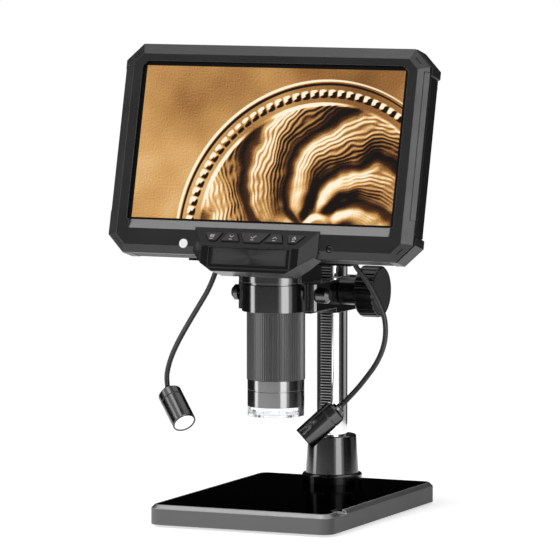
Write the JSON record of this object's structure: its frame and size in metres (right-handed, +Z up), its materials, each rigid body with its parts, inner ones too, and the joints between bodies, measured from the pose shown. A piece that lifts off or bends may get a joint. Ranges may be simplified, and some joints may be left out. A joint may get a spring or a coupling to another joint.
{
  "type": "lcd digital microscope",
  "caption": "Digital microscope: leaning screen with keys over a focusing tube, clamped to a rack pillar on a flat base, with gooseneck lamps.",
  "frame": {"origin": "on the table under the middle of the base", "axes": "+X to the viewer's right, +Y to the back, -Y the side the screen faces, +Z up"},
  "size_m": [0.1816, 0.152, 0.2596],
  "materials": {
    "base_grey": "satin dark grey paint",
    "stage_black": "polished black sheet",
    "cover_black": "moulded black",
    "screw_steel": "plated steel",
    "foot_rubber": "matte",
    "socket_black": "black gloss lacquer",
    "pillar_chrome": "mirror chrome",
    "rack_steel": "milled steel",
    "cap_black": "moulded black",
    "arm_black": "black gloss lacquer",
    "liner_white": "moulded nylon",
    "bush_brass": "turned",
    "knob_black": "moulded black",
    "knob_grey": "brushed grey",
    "thumb_black": "black oxide",
    "neck_black": "black anodised, polished",
    "ring_grey": "grey anodised, ribbed",
    "lens_glass": "polished",
    "light_board": "circuit board",
    "cover_clear": "clear moulding",
    "bezel_grey": "fine satin dark grey",
    "screen_picture": "lit picture",
    "panel_black": "black frame",
    "disc_white": "white diffuser",
    "lens_black": "smoked",
    "case_black": "moulded black",
    "port_steel": "stamped shell",
    "cell_silver": "foil pouch",
    "bumper_black": "smooth black",
    "box_black": "satin black",
    "window_black": "glossy smoked window",
    "key_black": "black with white signs",
    "wire_grey": "coated steel coil",
    "lamp_black": "black chrome",
    "lamp_glass": "frosted",
    "lamp_led": "lit"
  },
  "bodies": {
    "base": {"base_shell": "base_grey", "stage_plate": "stage_black", "base_cover": "cover_black", "cover_screws": "screw_steel", "rubber_feet": "foot_rubber", "pillar_socket": "socket_black", "pillar": "pillar_chrome", "pillar_bolt": "screw_steel", "pillar_cap": "cap_black", "rack": "rack_steel"},
    "carriage": {"carriage_arm": "arm_black", "slide_liner": "liner_white", "shaft_bushings": "bush_brass", "clamp_ring": "arm_black", "arm_screws": "screw_steel"},
    "focus_shaft": {"pinion_shaft": "rack_steel", "focus_knob_right": "knob_black", "focus_knob_left": "knob_black", "knob_caps": "knob_grey"},
    "thumb_right": {"thumbscrew_right": "thumb_black"},
    "thumb_left": {"thumbscrew_left": "thumb_black"},
    "focus_grip": {"focus_ring": "ring_grey"},
    "key_menu": {"button_menu": "key_black"},
    "key_down": {"button_down": "key_black"},
    "key_ok": {"button_ok": "key_black"},
    "key_up": {"button_up": "key_black"},
    "key_power": {"button_power": "key_black"},
    "left_upper": {"left_neck_upper": "wire_grey"},
    "left_lower": {"left_neck_lower": "wire_grey"},
    "left_lamp": {"left_lamp_housing": "lamp_black", "left_lamp_lens": "lamp_glass", "left_lamp_light": "lamp_led"},
    "right_upper": {"right_neck_upper": "wire_grey"},
    "right_lower": {"right_neck_lower": "wire_grey"},
    "right_lamp": {"right_lamp_housing": "lamp_black", "right_lamp_lens": "lamp_glass", "right_lamp_light": "lamp_led"},
    "head": {"battery": "cell_silver", "button_board": "light_board", "camera_board": "light_board", "clear_cover": "cover_clear", "control_box": "box_black", "corner_bumpers": "bumper_black", "front_bezel": "bezel_grey", "housing_screws": "screw_steel", "lcd_panel": "panel_black", "lens_barrel": "neck_black", "lenses": "lens_glass", "light_ring": "light_board", "lower_sleeve": "neck_black", "main_board": "light_board", "neck_block": "neck_black", "neck_sockets": "case_black", "rear_box": "case_black", "rear_cover": "case_black", "screen_glass": "screen_picture", "side_ports": "port_steel", "status_disc": "disc_white", "status_lens": "lens_black", "window_lens": "window_black"}
  },
  "joints": [
    {"name": "carriage_slide", "type": "slide", "parent": "base", "child": "carriage", "axis": [0, 0, 1], "range_m": [-0.015, 0.055]},
    {"name": "focus_shaft_turn", "type": "hinge", "parent": "carriage", "child": "focus_shaft", "pos_m": [0, 0.0395, 0.1218], "axis": [1, 0, 0], "range_deg": [-702, 192]},
    {"name": "head_turn", "type": "hinge", "parent": "carriage", "child": "head", "pos_m": [0, -0.025, 0.12], "axis": [0, 0, 1], "range_deg": [-20, 20]},
    {"name": "thumb_right_turn", "type": "hinge", "parent": "carriage", "child": "thumb_right", "pos_m": [0.025, -0.021, 0.1246], "axis": [1, 0, 0], "range_deg": [0, 360]},
    {"name": "thumb_left_turn", "type": "hinge", "parent": "carriage", "child": "thumb_left", "pos_m": [-0.025, -0.021, 0.1246], "axis": [-1, 0, 0], "range_deg": [0, 360]},
    {"name": "focus_ring_turn", "type": "hinge", "parent": "head", "child": "focus_grip", "pos_m": [0, -0.025, 0.095], "axis": [0, 0, 1], "range_deg": [-120, 120]},
    {"name": "key_menu_press", "type": "slide", "parent": "head", "child": "key_menu", "axis": [0, 0.6682, -0.744], "range_m": [0, 0.0006], "stiffness_N_per_m": 1500, "springref_m": -0.0002},
    {"name": "key_down_press", "type": "slide", "parent": "head", "child": "key_down", "axis": [0, 0.6682, -0.744], "range_m": [0, 0.0006], "stiffness_N_per_m": 1500, "springref_m": -0.0002},
    {"name": "key_ok_press", "type": "slide", "parent": "head", "child": "key_ok", "axis": [0, 0.6682, -0.744], "range_m": [0, 0.0006], "stiffness_N_per_m": 1500, "springref_m": -0.0002},
    {"name": "key_up_press", "type": "slide", "parent": "head", "child": "key_up", "axis": [0, 0.6682, -0.744], "range_m": [0, 0.0006], "stiffness_N_per_m": 1500, "springref_m": -0.0002},
    {"name": "key_power_press", "type": "slide", "parent": "head", "child": "key_power", "axis": [0, 0.6682, -0.744], "range_m": [0, 0.0006], "stiffness_N_per_m": 1500, "springref_m": -0.0002},
    {"name": "left_neck_swing", "type": "hinge", "parent": "head", "child": "left_upper", "pos_m": [-0.0405, -0.01, 0.146], "axis": [0, 0, 1], "range_deg": [-20, 20]},
    {"name": "left_neck_bend", "type": "hinge", "parent": "left_upper", "child": "left_lower", "pos_m": [-0.07515, 0.0059, 0.0888], "axis": [0, 1, 0], "range_deg": [-20, 20]},
    {"name": "left_lamp_aim", "type": "hinge", "parent": "left_lower", "child": "left_lamp", "pos_m": [-0.08193, 0.01076, 0.06457], "axis": [-0.6163, -0.7875, 0], "range_deg": [-15, 10]},
    {"name": "right_neck_swing", "type": "hinge", "parent": "head", "child": "right_upper", "pos_m": [0.0405, -0.01, 0.146], "axis": [0, 0, 1], "range_deg": [-15, 6]},
    {"name": "right_neck_bend", "type": "hinge", "parent": "right_upper", "child": "right_lower", "pos_m": [0.05545, -0.0035, 0.1003], "axis": [0, 1, 0], "range_deg": [-14, 2]},
    {"name": "right_lamp_aim", "type": "hinge", "parent": "right_lower", "child": "right_lamp", "pos_m": [0.02611, 0.00223, 0.06091], "axis": [-0.498, 0.8672, 0], "range_deg": [-15, 8]}
  ],
  "couplings": [
    {"joint": "focus_shaft_turn", "follows": "carriage_slide", "rad_per_m": -222.22}
  ]
}
